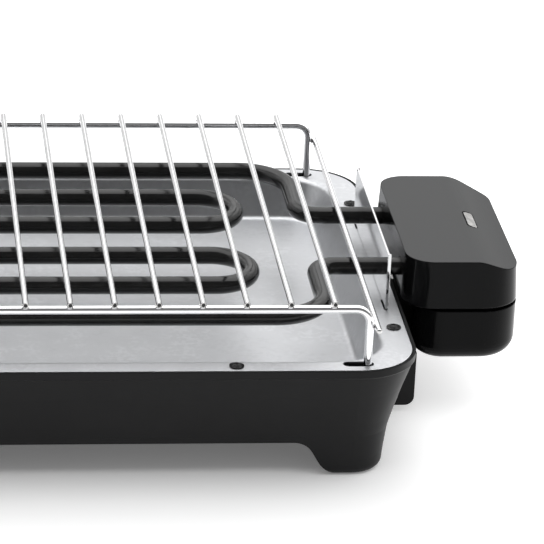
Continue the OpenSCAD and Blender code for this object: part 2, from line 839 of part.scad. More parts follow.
// Wall of the upper shell in section, from the centre of a plan corner of
// radius r outwards, drawn in by w
module flank_section(r, w) {
    polygon([[0, upper_z0 - (w > 0 ? overrun : 0)], [r - w, upper_z0 - (w > 0 ? overrun : 0)],
        [r - w - side_draft, housing_z1 + overrun], [0, housing_z1 + overrun]]);
}

module upper_solid(w) {
    intersection() {
        plan_block(housing_x0, upper_z0 - (w > 0 ? overrun : 0), housing_z1 + overrun) {
            flank_section(near_r, w);
            flank_section(far_r, w);
        }
        under_top(w);
    }
}

module case_boss_places() {
    front_and_rear() {
        translate([boss_x_near, boss_y, 0]) children();
        translate([boss_x_far, boss_y, 0]) children();
    }
}

module housing_upper() {
    color(shell_grey) placed() difference() {
        union() {
            difference() {
                upper_solid(0);
                upper_solid(shell_wall);
            }
            translate([0, 0, upper_z0]) linear_extrude(lip_t) difference() {
                housing_plan(housing_x0, shell_wall / 2);
                housing_plan(housing_x0 + lower_step, shell_wall);
            }
            intersection() {
                upper_solid(0);
                union() {
                    case_boss_places() translate([0, 0, upper_z0])
                        cylinder(d = boss_d, h = housing_z1 - upper_z0);
                    translate([lens_x, 0, (pocket_z0 + housing_z1) / 2]) cube([
                        lens_flange_w + 2 * part_gap + 2 * pocket_wall,
                        lamp_len + 2 * part_gap + 2 * pocket_wall,
                        housing_z1 - pocket_z0], center = true);
                    front_and_rear() translate([housing_x0 + overrun, bracket_boss_y, tube_z])
                        rotate([0, 90, 0])
                        cylinder(d = bracket_boss_d, h = bracket_x0 - housing_x0 - overrun);
                }
            }
        }
        case_boss_places() translate([0, 0, upper_z0 - overrun])
            cylinder(d = case_screw_d + 2 * touch_gap, h = case_screw_len / 2 + overrun);
        front_and_rear() {
            translate([bracket_x0 + overrun, bracket_boss_y, tube_z]) rotate([0, -90, 0])
                cylinder(d = bracket_screw_d + 2 * touch_gap, h = bracket_boss_l + overrun);
            translate([housing_x0 - overrun, cold_end_y, tube_z]) rotate([0, 90, 0])
                cylinder(d = tube_d + 2 * bore_gap, h = shell_wall + side_draft + 2 * overrun);
        }
        translate([lens_x, 0, (pocket_z0 + lens_flange_z + touch_gap) / 2 - overrun / 2]) cube([
            lens_flange_w + 2 * part_gap, lamp_len + 2 * part_gap,
            lens_flange_z + touch_gap - pocket_z0 + overrun], center = true);
        translate([lens_x, 0, lens_flange_z]) linear_extrude(housing_top)
            round_lens(lens_gap);
    }
}

// Plan of the indicator lens, grown by g
module round_lens(g) {
    round_rect(lens_w / 2 + g, lens_len / 2 + g, lens_w * lens_r_share + g);
}

module indicator_lens() {
    color(lens_pale) placed() {
        intersection() {
            under_top(0);
            translate([lens_x, 0, lens_flange_z - lens_flange_t / 2])
                linear_extrude(housing_top) round_lens(0);
        }
        translate([lens_x, 0, lens_flange_z - lens_flange_t / 2])
            cube([lens_flange_w, lamp_len, lens_flange_t], center = true);
    }
}

module indicator_lamp() {
    color(lamp_amber) placed() translate([lens_x, 0, lamp_z]) rotate([90, 0, 0])
        cylinder(d = lamp_d, h = lamp_len, center = true);
}

// Wall of the lower shell in section, from the centre of a plan corner of
// radius r outwards, drawn in by w
module belly_section(r, w) {
    polygon(concat(
        [[0, housing_z0 + w]],
        arc([r - belly_r, housing_z0 + belly_r], belly_r - w, 270, 360),
        [[r - w, lower_z1 + (w > 0 ? overrun : 0)], [0, lower_z1 + (w > 0 ? overrun : 0)]]));
}

// Block with the long rounding under the lower shell's outer side
module over_belly(w) {
    rotate([90, 0, 0]) linear_extrude(housing_depth + overrun, center = true) polygon(concat(
        [[housing_x0 - overrun, housing_z0 - overrun + w],
            [housing_x1 - belly_reach, housing_z0 - overrun + w]],
        [for (i = [0 : belly_steps]) [
            housing_x1 - belly_reach + (belly_reach - w) * sin(90 * i / belly_steps),
            housing_z0 + belly_rise - (belly_rise - w) * cos(90 * i / belly_steps)]],
        [[housing_x1 - w, lower_z1 + overrun], [housing_x0 - overrun, lower_z1 + overrun]]));
}

// Lower shell as a solid block with its bottom edges rounded all the way round
module lower_solid(w) {
    intersection() {
        plan_block(housing_x0 + lower_step, housing_z0 + w, lower_z1 + (w > 0 ? overrun : 0)) {
            belly_section(near_r, w);
            belly_section(far_r, w);
        }
        over_belly(w);
    }
}

module housing_lower() {
    x0 = housing_x0 + lower_step;
    color(shell_grey) placed() difference() {
        union() {
            difference() {
                lower_solid(0);
                lower_solid(shell_wall);
            }
            translate([0, 0, lower_z1 - lip_t]) linear_extrude(lip_t) difference() {
                housing_plan(x0, shell_wall / 2);
                housing_plan(x0, lip_inset + lip_t);
            }
            translate([0, 0, lower_z1 - lip_t]) linear_extrude(lip_h + groove_h + lip_t)
                difference() {
                    housing_plan(x0, lip_inset);
                    housing_plan(x0, lip_inset + lip_t);
                }
            case_boss_places() translate([0, 0, floor_z - boss_sink])
                cylinder(d = boss_d, h = upper_z0 - floor_z + boss_sink - touch_gap);
        }
        case_boss_places() translate([0, 0, housing_z0 - overrun]) {
            cylinder(d = counterbore_d, h = counterbore_h + overrun);
            cylinder(d = case_screw_d + bore_gap, h = housing_h);
        }
        translate([plunger_x, plunger_y, housing_z0 - overrun])
            cylinder(d = plunger_d + 2 * plunger_gap, h = shell_wall + collar_room + overrun);
        translate([bush_x, housing_y + overrun, bush_z]) rotate([90, 0, 0])
            cylinder(d = bush_d + 2 * touch_gap, h = shell_wall + 2 * overrun);
    }
}

module housing_screws() {
    color(screw_black) placed() case_boss_places() translate([0, 0, housing_z0 + counterbore_h]) {
        translate([0, 0, -case_head_t]) cylinder(d = case_head_d, h = case_head_t);
        cylinder(d = case_screw_d, h = upper_z0 - housing_z0 - counterbore_h + case_screw_len / 3);
    }
}

module thermal_cutout() {
    color(ceramic_white) placed() translate([bracket_x1, 0, tube_z]) rotate([0, 90, 0]) {
        cylinder(d = cutout_d, h = cutout_rim_t);
        cylinder(d = cutout_d - cutout_rim_d, h = cutout_t);
        front_and_rear() translate([0, blade_y, cutout_t + blade_l / 2])
            cube([blade_w, blade_t, blade_l], center = true);
    }
}

// Screw terminal block: one groove between each pair of ways
module terminal_block() {
    way = block_len / block_ways;
    color(ceramic_white) placed() translate([block_x, block_y, floor_z]) difference() {
        translate([0, 0, block_h / 2]) cube([block_w, block_len, block_h], center = true);
        for (i = [1 : block_ways - 1]) {
            translate([0, (i - block_ways / 2) * way, block_h])
                cube([block_w + overrun, block_groove, block_groove_h], center = true);
        }
        for (i = [0 : block_ways - 1]) {
            translate([block_screw_d / 2 + block_screw_x - block_w / 2, (i - (block_ways - 1) / 2) * way,
                block_h - block_screw_h])
                cylinder(d = block_screw_d + 2 * touch_gap, h = block_h);
        }
    }
}

module block_screws() {
    way = block_len / block_ways;
    color(steel_grey) placed() translate([block_x, block_y, floor_z])
        for (i = [0 : block_ways - 1]) {
            translate([block_screw_d / 2 + block_screw_x - block_w / 2, (i - (block_ways - 1) / 2) * way,
                block_h - block_screw_h])
                cylinder(d = block_screw_d, h = block_screw_h);
        }
}

module micro_switch() {
    color(black_plastic) placed()
        translate([plunger_x - switch_w / 2, switch_y - switch_len / 2, switch_z0])
        cube([switch_w, switch_len, switch_h]);
}

module switch_plunger() {
    z0 = housing_z0;
    z1 = switch_z0 - part_gap;
    color(plunger_brass) placed() translate([plunger_x, plunger_y, 0]) {
        translate([0, 0, z0]) cylinder(d = plunger_d, h = z1 - z0);
        translate([0, 0, z1 - collar_t]) cylinder(d = collar_d, h = collar_t);
    }
}

// Straight stretch of wire, upwards from the origin
module wire_line(l) {
    cylinder(d = wire_d, h = l);
}

// Quarter bend of wire about the origin, from +X round to +Y
module wire_bend() {
    rotate_extrude(angle = 90) translate([wire_bend_r, 0]) circle(d = wire_d);
}

// Wire from x0 at depth y and height z that bends down at x1 to height z1
module wire_down(x0, x1, y, z, z1) {
    translate([x0, y, z]) rotate([0, 90, 0]) wire_line(x1 - wire_bend_r - x0);
    translate([x1 - wire_bend_r, y, z - wire_bend_r]) rotate([90, 0, 0]) wire_bend();
    translate([x1, y, z1]) wire_line(z - wire_bend_r - z1);
}

// Wire at x from depth y0 to depth y1 at height z that bends down to height z1
module wire_across(x, y0, y1, z, z1) {
    translate([x, y0, z]) rotate([-90, 0, 0]) wire_line(y1 - wire_bend_r - y0);
    translate([x, y1 - wire_bend_r, z - wire_bend_r]) rotate([90, 0, 90]) wire_bend();
    translate([x, y1, z1]) wire_line(z - wire_bend_r - z1);
}

// Wire from x0 at depth y0 that drops at x1 to height low, runs to depth y1 and
// bends down to height z1
module wire_low(x0, x1, y0, y1, low, z1) {
    wire_down(x0, x1, y0, tube_z, low + wire_bend_r);
    translate([x1, y0 + wire_bend_r, low + wire_bend_r]) rotate([90, 180, 90]) wire_bend();
    wire_across(x1, y0 + wire_bend_r, y1, low, z1);
}

module lead_wires() {
    top = floor_z + block_h + touch_gap;
    way = block_len / block_ways;
    x1 = block_x + wire_lead;
    low = tube_z - low_lane;
    pin_x = pin_end_x + touch_gap;
    blade_x = bracket_x1 + cutout_t + blade_l + touch_gap;
    color(blue_wire) placed() {
        wire_down(pin_x, x1, cold_end_y, tube_z, top);
        wire_low(pin_x, x1 + far_lane, -cold_end_y, block_y - way, low, top);
        wire_low(blade_x, x1, blade_y, block_y, low, top);
    }
}

// Rubber bush in the rear wall of the lower shell, where the cord goes in
module cord_inlet_bush() {
    color(screw_black) placed() translate([bush_x, housing_y, bush_z]) rotate([90, 0, 0])
        difference() {
            union() {
                translate([0, 0, -bush_flange_t]) cylinder(d = bush_flange_d, h = bush_flange_t);
                cylinder(d = bush_d, h = shell_wall + bush_inner_t + touch_gap);
                translate([0, 0, shell_wall + touch_gap])
                    cylinder(d = bush_flange_d, h = bush_inner_t);
            }
            translate([0, 0, -bush_flange_t - overrun])
                cylinder(d = inlet_d, h = bush_flange_t + shell_wall + bush_inner_t + 3 * overrun);
        }
}

base_shell();
reflector_tray();
tray_screws();
rack_front_wire();
rack_rear_wire();
grate_rods();
rack_side_rods();
heating_element();
element_support();
heat_shield();
mounting_bracket();
bracket_screws();
terminal_pins();
terminal_insulators();
housing_upper();
housing_lower();
housing_screws();
indicator_lens();
indicator_lamp();
thermal_cutout();
terminal_block();
block_screws();
micro_switch();
switch_plunger();
lead_wires();
cord_inlet_bush();
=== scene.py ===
"""Looks of a tabletop electric grill: finishes, weld beads, studio and camera.

Sizes in the classes are millimetres. Blender works in metres, in the frame of
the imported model.
"""

import logging
import math
from dataclasses import dataclass
from enum import Enum

import bmesh
import bpy
from mathutils import Matrix, Vector, noise


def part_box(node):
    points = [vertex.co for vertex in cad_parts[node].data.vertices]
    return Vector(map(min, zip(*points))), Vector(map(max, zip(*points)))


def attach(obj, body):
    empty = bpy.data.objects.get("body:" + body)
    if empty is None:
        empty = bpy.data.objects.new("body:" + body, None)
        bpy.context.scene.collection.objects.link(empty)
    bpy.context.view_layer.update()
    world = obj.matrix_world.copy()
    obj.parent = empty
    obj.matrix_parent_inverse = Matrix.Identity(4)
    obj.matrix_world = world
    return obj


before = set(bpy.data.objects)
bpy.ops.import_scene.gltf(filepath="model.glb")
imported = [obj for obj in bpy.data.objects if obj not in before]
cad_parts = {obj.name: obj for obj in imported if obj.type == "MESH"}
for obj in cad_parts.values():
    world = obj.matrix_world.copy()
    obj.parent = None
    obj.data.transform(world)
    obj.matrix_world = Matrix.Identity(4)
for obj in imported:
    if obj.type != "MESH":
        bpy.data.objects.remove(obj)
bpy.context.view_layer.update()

LOG = logging.getLogger("grill")

# Names of types that the hints use
Span = tuple[float, float]
Colour = tuple[float, float, float]
Point = tuple[float, float, float]
Node = bpy.types.Node
Socket = bpy.types.NodeSocket

MM = 0.001
HALF = 0.5
QUARTER_TURN = 90
RISING: Span = (0.0, 1.0)
FALLING: Span = (1.0, 0.0)
WHITE: Colour = (1.0, 1.0, 1.0)
BLACK: Colour = (0.0, 0.0, 0.0)
LEAST_ROUGHNESS = 0.02
# Corners in the cross-section of the burrs and of the dark ring, painted shadow, round
# the lens
RING_SIDES = 8
# Power of an area light for each unit of radiance and square metre
WATTS_PER_RADIANCE = 4.0


class Body(Enum):
    """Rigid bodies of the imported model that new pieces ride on."""

    UNIT = "control_unit"
    RACK = "rack"


class Effect(Enum):
    """Surface effects that several finishes share."""

    GRAIN = "moulded_grain"
    BRUSHING = "brushing"
    PATCHES = "patches"
    EDGES = "edge_wear"
    SPECKS = "specks"


class Wiring:
    """Short hand for building one node tree."""

    def __init__(self, tree: bpy.types.NodeTree) -> None:
        """Keeps the tree that the nodes go into.

        Args:
            tree: node tree of a material, a world or a group.
        """
        self.tree = tree

    def add(self, kind: str, **settings: object) -> Node:
        """Adds a node.

        Args:
            kind: Blender's name of the node's type.
            settings: properties of the node, by name.

        Returns:
            The new node.
        """
        node = self.tree.nodes.new(kind)
        for name, value in settings.items():
            setattr(node, name, value)
        return node

    def put(self, value: object, socket: Socket) -> None:
        """Links an output to a socket, or sets the socket to a plain value.

        Args:
            value: an output socket, a number, a colour or a vector.
            socket: the input socket that receives it.
        """
        if isinstance(value, Socket):
            self.tree.links.new(value, socket)
        elif isinstance(value, tuple) and socket.type == "RGBA":
            socket.default_value = (*value[:3], 1.0)
        else:
            socket.default_value = value

    def fill(self, node: Node, **values: object) -> Node:
        """Gives several inputs of a node their values.

        Args:
            node: the node.
            values: its inputs by name, with underscores for spaces.

        Returns:
            The same node.
        """
        for name, value in values.items():
            self.put(value, node.inputs[name.replace("_", " ")])
        return node

    def maths(self, step: str, first: object, second: object = 0.0) -> Socket:
        """Adds a math node.

        Args:
            step: operation, such as MULTIPLY.
            first: first operand, a socket or a number.
            second: second operand, a socket or a number.

        Returns:
            The result's socket.
        """
        node = self.add("ShaderNodeMath", operation=step)
        self.put(first, node.inputs[0])
        self.put(second, node.inputs[1])
        return node.outputs[0]

    def remap(self, value: Socket, span: Span, to: Span = RISING) -> Socket:
        """Maps a value smoothly from one span to another.

        Args:
            value: the socket to map.
            span: lowest and highest value that is read.
            to: values that the two ends of the span become.

        Returns:
            The mapped value's socket.
        """
        node = self.add("ShaderNodeMapRange", interpolation_type="SMOOTHSTEP")
        self.fill(node, Value=value, From_Min=span[0], From_Max=span[1])
        self.fill(node, To_Min=to[0], To_Max=to[1])
        return node.outputs["Result"]

    def put_between(self, share: object, low: object, high: object) -> Socket:
        """Mixes two numbers by a mask.

        Args:
            share: mask from 0 to 1.
            low: number or socket where the mask is 0.
            high: number or socket where the mask is 1.

        Returns:
            The mixed number's socket.
        """
        node = self.add("ShaderNodeMix", data_type="FLOAT")
        for value, index in ((share, 0), (low, 2), (high, 3)):
            self.put(value, node.inputs[index])
        return node.outputs[0]

    def tint(self, share: Socket, low: object, high: object) -> Socket:
        """Mixes two colours by a mask.

        Args:
            share: mask from 0 to 1.
            low: colour or socket where the mask is 0.
            high: colour or socket where the mask is 1.

        Returns:
            The mixed colour's socket.
        """
        node = self.add("ShaderNodeMix", data_type="RGBA")
        for value, index in ((share, 0), (low, 6), (high, 7)):
            self.put(value, node.inputs[index])
        return node.outputs[2]

    def noise(self, place: Socket, scale: object, detail: float) -> Socket:
        """Adds a noise texture.

        Args:
            place: coordinates in metres.
            scale: features per metre, a number or a socket.
            detail: octaves of finer noise.

        Returns:
            The noise value's socket.
        """
        node = self.add("ShaderNodeTexNoise")
        self.fill(node, Vector=place, Scale=scale, Detail=detail)
        return node.outputs["Fac"]

    def place(self) -> Socket:
        """Returns the object's own coordinates, which ride with it."""
        return self.add("ShaderNodeTexCoord").outputs["Object"]

    def split(self, vector: Socket) -> tuple[Socket, ...]:
        """Returns the X, Y and Z of a vector."""
        node = self.add("ShaderNodeSeparateXYZ")
        self.put(vector, node.inputs[0])
        return tuple(node.outputs)

    def own_normal(self) -> tuple[Socket, ...]:
        """Turns the surface's normal into the object's own axes.

        Returns:
            The X, Y and Z of the turned normal.
        """
        turned = self.add(
            "ShaderNodeVectorTransform",
            vector_type="NORMAL",
            convert_from="WORLD",
            convert_to="OBJECT",
        )
        self.put(self.add("ShaderNodeNewGeometry").outputs["Normal"], turned.inputs[0])
        return self.split(turned.outputs[0])

    def effect(self, effect: Effect, **values: object) -> Node:
        """Places a shared effect in this tree.

        Args:
            effect: which shared node group.
            values: its inputs, with underscores for spaces.

        Returns:
            The group's node.
        """
        node = self.add("ShaderNodeGroup")
        node.node_tree = EffectLibrary.get(effect)
        return self.fill(node, **values)

    def patches(self, size: float) -> Socket:
        """Returns the mask of soft clouds of a size in millimetres."""
        return self.effect(Effect.PATCHES, Patch_Size=size).outputs["Mask"]


class EffectLibrary:
    """Builds each shared effect's node group once."""

    CELL_SHARE = 0.6
    GLOSS_PER_METRE = 26.0
    GLOSS_SPAN: Span = (0.3, 0.7)
    HAIR_FINER = 4.0
    HAIR_SHARE = 0.5
    STREAK_SPAN: Span = (0.32, 0.68)
    CLOUD_SPAN: Span = (0.34, 0.66)
    SPECK_SPAN: Span = (0.0, 0.08)
    EDGE_SAMPLES = 6
    EDGE_PER_METRE = 240.0
    EDGE_SPAN: Span = (0.01, 0.12)

    @staticmethod
    def get(effect: Effect) -> bpy.types.NodeTree:
        """Finds or builds the node group of an effect.

        Args:
            effect: the effect that is wanted.

        Returns:
            Its node group.
        """
        found = bpy.data.node_groups.get(effect.value)
        if found is not None:
            return found
        return getattr(EffectLibrary, effect.value)(effect.value)

    @staticmethod
    def shell(
        name: str, inputs: dict[str, object], outputs: dict[str, str]
    ) -> tuple[Wiring, Node, Node]:
        """Makes an empty group with named sockets.

        Args:
            name: name of the group.
            inputs: default value of each input, by name.
            outputs: kind of each output, Float, Color or Vector, by name.

        Returns:
            The group's wiring, its input node and its output node.
        """
        tree = bpy.data.node_groups.new(name, "ShaderNodeTree")
        for label, value in inputs.items():
            kind = "Vector" if isinstance(value, tuple) else "Float"
            socket = tree.interface.new_socket(
                label, in_out="INPUT", socket_type="NodeSocket" + kind
            )
            socket.default_value = value
        for label, kind in outputs.items():
            tree.interface.new_socket(
                label, in_out="OUTPUT", socket_type="NodeSocket" + kind
            )
        wires = Wiring(tree)
        return wires, wires.add("NodeGroupInput"), wires.add("NodeGroupOutput")

    @classmethod
    def moulded_grain(cls, name: str) -> bpy.types.NodeTree:
        """Builds the fine spark-eroded grain of a moulding.

        Args:
            name: name of the group.

        Returns:
            The node group, with a height and a slow unevenness mask.
        """
        wires, given, made = cls.shell(
            name, {"Grain Size": 0.5}, {"Height": "Float", "Mask": "Float"}
        )
        place = wires.place()
        per_metre = wires.maths("DIVIDE", 1.0 / MM, given.outputs["Grain Size"])
        fine = wires.noise(place, per_metre, detail=3.0)
        cells = wires.add("ShaderNodeTexVoronoi", feature="SMOOTH_F1")
        wires.fill(cells, Vector=place, Scale=per_metre)
        pits = wires.maths("MULTIPLY", cells.outputs["Distance"], cls.CELL_SHARE)
        slow = wires.noise(place, cls.GLOSS_PER_METRE, detail=4.0)
        mask = wires.remap(slow, cls.GLOSS_SPAN)
        wires.fill(made, Height=wires.maths("ADD", fine, pits), Mask=mask)
        return wires.tree

    @classmethod
    def brushing(cls, name: str) -> bpy.types.NodeTree:
        """Builds long fine streaks left by rolling and brushing.

        Args:
            name: name of the group.

        Returns:
            The node group, with a streak mask and a height.
        """
        wires, given, made = cls.shell(
            name,
            {"Stretch": (1.0, 40.0, 40.0), "Fineness": 60.0},
            {"Streaks": "Float", "Height": "Float"},
        )
        scaled = wires.add("ShaderNodeVectorMath", operation="MULTIPLY")
        wires.put(wires.place(), scaled.inputs[0])
        wires.put(given.outputs["Stretch"], scaled.inputs[1])
        fineness = given.outputs["Fineness"]
        broad = wires.noise(scaled.outputs[0], fineness, detail=3.0)
        finer = wires.maths("MULTIPLY", fineness, cls.HAIR_FINER)
        hair = wires.noise(scaled.outputs[0], finer, detail=2.0)
        fine = wires.maths("MULTIPLY", hair, cls.HAIR_SHARE)
        height = wires.maths("ADD", broad, fine)
        wires.fill(made, Streaks=wires.remap(broad, cls.STREAK_SPAN), Height=height)
        return wires.tree

    @classmethod
    def patches(cls, name: str) -> bpy.types.NodeTree:
        """Builds soft clouds of a given size.

        Args:
            name: name of the group.

        Returns:
            The node group, with one mask.
        """
        wires, given, made = cls.shell(name, {"Patch Size": 12.0}, {"Mask": "Float"})
        per_metre = wires.maths("DIVIDE", 1.0 / MM, given.outputs["Patch Size"])
        clouds = wires.noise(wires.place(), per_metre, detail=5.0)
        wires.fill(made, Mask=wires.remap(clouds, cls.CLOUD_SPAN))
        return wires.tree

    @classmethod
    def specks(cls, name: str) -> bpy.types.NodeTree:
        """Builds sparse small specks.

        Args:
            name: name of the group.

        Returns:
            The node group, with one mask.
        """
        wires, given, made = cls.shell(
            name, {"Spacing": 3.0, "Speck": 0.16}, {"Mask": "Float"}
        )
        per_metre = wires.maths("DIVIDE", 1.0 / MM, given.outputs["Spacing"])
        cells = wires.add("ShaderNodeTexVoronoi")
        wires.fill(cells, Vector=wires.place(), Scale=per_metre)
        away = cells.outputs["Distance"]
        near = wires.maths("SUBTRACT", given.outputs["Speck"], away)
        wires.fill(made, Mask=wires.remap(near, cls.SPECK_SPAN))
        return wires.tree

    @classmethod
    def edge_wear(cls, name: str) -> bpy.types.NodeTree:
        """Builds a mask of rubbed edges and a normal that rounds them.

        Args:
            name: name of the group.

        Returns:
            The node group, with a mask and a normal.
        """
        wires, given, made = cls.shell(
            name, {"Width": 0.5}, {"Mask": "Float", "Normal": "Vector"}
        )
        soft = wires.add("ShaderNodeBevel", samples=cls.EDGE_SAMPLES)
        wires.fill(soft, Radius=wires.maths("MULTIPLY", given.outputs["Width"], MM))
        normal = wires.add("ShaderNodeNewGeometry").outputs["Normal"]
        facing = wires.add("ShaderNodeVectorMath", operation="DOT_PRODUCT")
        wires.put(soft.outputs[0], facing.inputs[0])
        wires.put(normal, facing.inputs[1])
        turned = wires.maths("SUBTRACT", 1.0, facing.outputs["Value"])
        chance = wires.noise(wires.place(), cls.EDGE_PER_METRE, detail=3.0)
        mask = wires.remap(wires.maths("MULTIPLY", turned, chance), cls.EDGE_SPAN)
        wires.fill(made, Mask=mask, Normal=soft.outputs[0])
        return wires.tree


@dataclass(frozen=True)
class Finish:
    """What every finish has.

    Shades are shares of the colour that its clouds stray between, and
    gloss_change is what the roughness strays by.
    """

    name: str
    colour: Colour
    roughness: float
    cloud_size: float = 6.0
    shades: Span = (1.0, 1.0)
    gloss_change: Span = (-0.06, 0.06)

    def start(self) -> tuple[bpy.types.Material, Wiring, Node]:
        """Makes the empty material.

        Returns:
            The material, its wiring and its Principled node.
        """
        material = bpy.data.materials.new(self.name)
        material.use_nodes = True
        wires = Wiring(material.node_tree)
        return material, wires, principled(material)

    def shaded(self, share: float) -> Colour:
        """Returns the colour made lighter or darker by a share."""
        return tuple(channel * share for channel in self.colour)

    def between(self, wires: Wiring, mask: Socket) -> Socket:
        """Returns the colour, which strays between the two shades by a mask."""
        return wires.tint(mask, *(self.shaded(share) for share in self.shades))

    def gloss(self, wires: Wiring, mask: Socket) -> Socket:
        """Lets the roughness follow a mask round its mean value.

        Args:
            wires: the material's wiring.
            mask: mask from 0 to 1.

        Returns:
            The roughness.
        """
        low, high = (self.roughness + change for change in self.gloss_change)
        return wires.remap(mask, RISING, (max(low, LEAST_ROUGHNESS), high))

    @staticmethod
    def relief(
        wires: Wiring, height: Socket, depth: float, normal: Socket | None = None
    ) -> Socket:
        """Makes a bump for the surface.

        Args:
            wires: the material's wiring.
            height: height from 0 to about 1.
            depth: depth in millimetres that a height of 1 stands for.
            normal: normal that the bump starts from.

        Returns:
            The bumped normal.
        """
        bump = wires.add("ShaderNodeBump")
        wires.fill(bump, Distance=depth * MM, Height=height)
        if normal is not None:
            wires.fill(bump, Normal=normal)
        return bump.outputs["Normal"]

    def material(self) -> bpy.types.Material:
        """Builds the material. Each kind of finish has its own."""
        raise NotImplementedError


@dataclass(frozen=True)
class MouldedPlastic(Finish):
    """Grained moulding whose upward faces may be duller than its sides and may carry a
    painted top colour, which stands in for the light from above.
    """

    cloud_size: float = 35.0
    shades: Span = (0.86, 1.14)
    gloss_change: Span = (-0.04, 0.05)
    ior: float = 1.3
    grain: float = 0.5
    depth: float = 0.012
    side_grain: float = 0.15
    edge: float = 0.5
    rub: float = 2.2
    top_roughness: float | None = None
    # Colour of upward faces: painted light from above by default, painted shade where a
    # part sets it darker
    painted_top_colour: Colour = (0.04, 0.0405, 0.041)
    top_slope: Span = (0.55, 0.95)

    def material(self) -> bpy.types.Material:
        """Builds grain, rubbed edges, slow changes of gloss and painted light and shade
        on upward faces.

        Returns:
            The material.
        """
        material, wires, shader = self.start()
        grain = wires.effect(Effect.GRAIN, Grain_Size=self.grain)
        edges = wires.effect(Effect.EDGES, Width=self.edge)
        colour = self.between(wires, wires.patches(self.cloud_size))
        colour = wires.tint(edges.outputs["Mask"], colour, self.shaded(self.rub))
        roughness = self.gloss(wires, grain.outputs["Mask"])
        height = grain.outputs["Height"]
        if self.top_roughness is not None:
            top = wires.remap(wires.own_normal()[2], self.top_slope)
            # Upward faces take the painted top colour, which stands in for the light
            # from above
            colour = wires.tint(top, colour, self.painted_top_colour)
            roughness = wires.put_between(top, roughness, self.top_roughness)
            share = wires.maths("ADD", top, self.side_grain)
            height = wires.maths("MULTIPLY", height, share)
        bump = self.relief(wires, height, self.depth, edges.outputs["Normal"])
        wires.fill(shader, Base_Color=colour, Roughness=roughness, IOR=self.ior)
        wires.fill(shader, Normal=bump)
        return material


@dataclass(frozen=True)
class SheetSteel(Finish):
    """Rolled or polished sheet with streaks along one direction."""

    cloud_size: float = 22.0
    shades: Span = (0.985, 1.015)
    gloss_change: Span = (-0.025, 0.025)
    stretch: Point = (1.0, 40.0, 40.0)
    fineness: float = 60.0
    depth: float = 0.0003
    wave: float = 0.06
    wave_per_metre: float = 16.0
    wave_detail: float = 0.6
    edge: float = 0.3
    edge_shade: float = 1.2
    haze: float = 0.015
    fleck: float = 0.2
    fleck_size: float = 2.4
    fleck_shade: float = 0.9

    def material(self) -> bpy.types.Material:
        """Builds streaks, faint clouds and bright sheared edges.

        Returns:
            The material.
        """
        material, wires, shader = self.start()
        brushed = wires.effect(
            Effect.BRUSHING, Stretch=self.stretch, Fineness=self.fineness
        )
        streaks = brushed.outputs["Streaks"]
        edges = wires.effect(Effect.EDGES, Width=self.edge)
        cloud = wires.patches(self.cloud_size)
        flecks = wires.maths("MULTIPLY", wires.patches(self.fleck_size), self.fleck)
        colour = self.between(wires, streaks)
        for mask, share in (
            (cloud, 1.0 - self.haze),
            (flecks, self.fleck_shade),
            (edges.outputs["Mask"], self.edge_shade),
        ):
            colour = wires.tint(mask, colour, self.shaded(share))
        both = wires.maths("MULTIPLY", wires.maths("ADD", streaks, cloud), HALF)
        waves = wires.noise(wires.place(), self.wave_per_metre, self.wave_detail)
        slow = wires.maths("MULTIPLY", waves, self.wave)
        fine = wires.maths("MULTIPLY", brushed.outputs["Height"], self.depth)
        height = wires.maths("ADD", fine, slow)
        bump = self.relief(wires, height, 1.0, edges.outputs["Normal"])
        roughness = self.gloss(wires, both)
        wires.fill(shader, Base_Color=colour, Metallic=1.0, Roughness=roughness)
        wires.fill(shader, Normal=bump)
        return material


@dataclass(frozen=True)
class PlatedWire(Finish):
    """Bright plated wire with die marks and dull, dark cut ends."""

    cloud_size: float = 5.0
    shades: Span = (0.95, 1.03)
    gloss_change: Span = (-0.02, 0.03)
    stretch: Point = (30.0, 1.0, 30.0)
    fineness: float = 70.0
    depth: float = 0.0006
    ends: float = 0.0
    end_colour: Colour = (0.05, 0.05, 0.05)
    end_slope: Span = (0.8, 0.95)
    end_roughness: float = 0.4

    def material(self) -> bpy.types.Material:
        """Builds die marks, faint haze and the cut ends across Y.

        Returns:
            The material.
        """
        material, wires, shader = self.start()
        haze = wires.patches(self.cloud_size)
        marks = wires.effect(
            Effect.BRUSHING, Stretch=self.stretch, Fineness=self.fineness
        )
        colour = self.between(wires, haze)
        roughness = self.gloss(wires, haze)
        if self.ends > 0:
            across = wires.maths("ABSOLUTE", wires.own_normal()[1])
            cut = wires.remap(across, self.end_slope, (0.0, self.ends))
            colour = wires.tint(cut, colour, self.end_colour)
            dull = wires.maths("MULTIPLY", cut, self.end_roughness)
            roughness = wires.maths("ADD", roughness, dull)
        bump = self.relief(wires, marks.outputs["Height"], self.depth)
        wires.fill(shader, Base_Color=colour, Metallic=1.0, Roughness=roughness)
        wires.fill(shader, Normal=bump)
        return material


@dataclass(frozen=True)
class GrittySkin(Finish):
    """Dry, gritty skin with clouds and small specks."""

    grain: float = 0.4
    depth: float = 0.01
    speck_gap: float = 2.0
    speck_reach: float = 0.1
    speck: Colour = BLACK
    ior: float | None = None

    def material(self) -> bpy.types.Material:
        """Builds clouds, specks and a fine dry grain.

        Returns:
            The material.
        """
        material, wires, shader = self.start()
        cloud = wires.patches(self.cloud_size)
        grain = wires.effect(Effect.GRAIN, Grain_Size=self.grain)
        specks = wires.effect(
            Effect.SPECKS, Spacing=self.speck_gap, Speck=self.speck_reach
        )
        body = self.between(wires, cloud)
        colour = wires.tint(specks.outputs["Mask"], body, self.speck)
        bump = self.relief(wires, grain.outputs["Height"], self.depth)
        roughness = self.gloss(wires, cloud)
        wires.fill(shader, Base_Color=colour, Roughness=roughness, Normal=bump)
        if self.ior is not None:
            wires.fill(shader, IOR=self.ior)
        return material


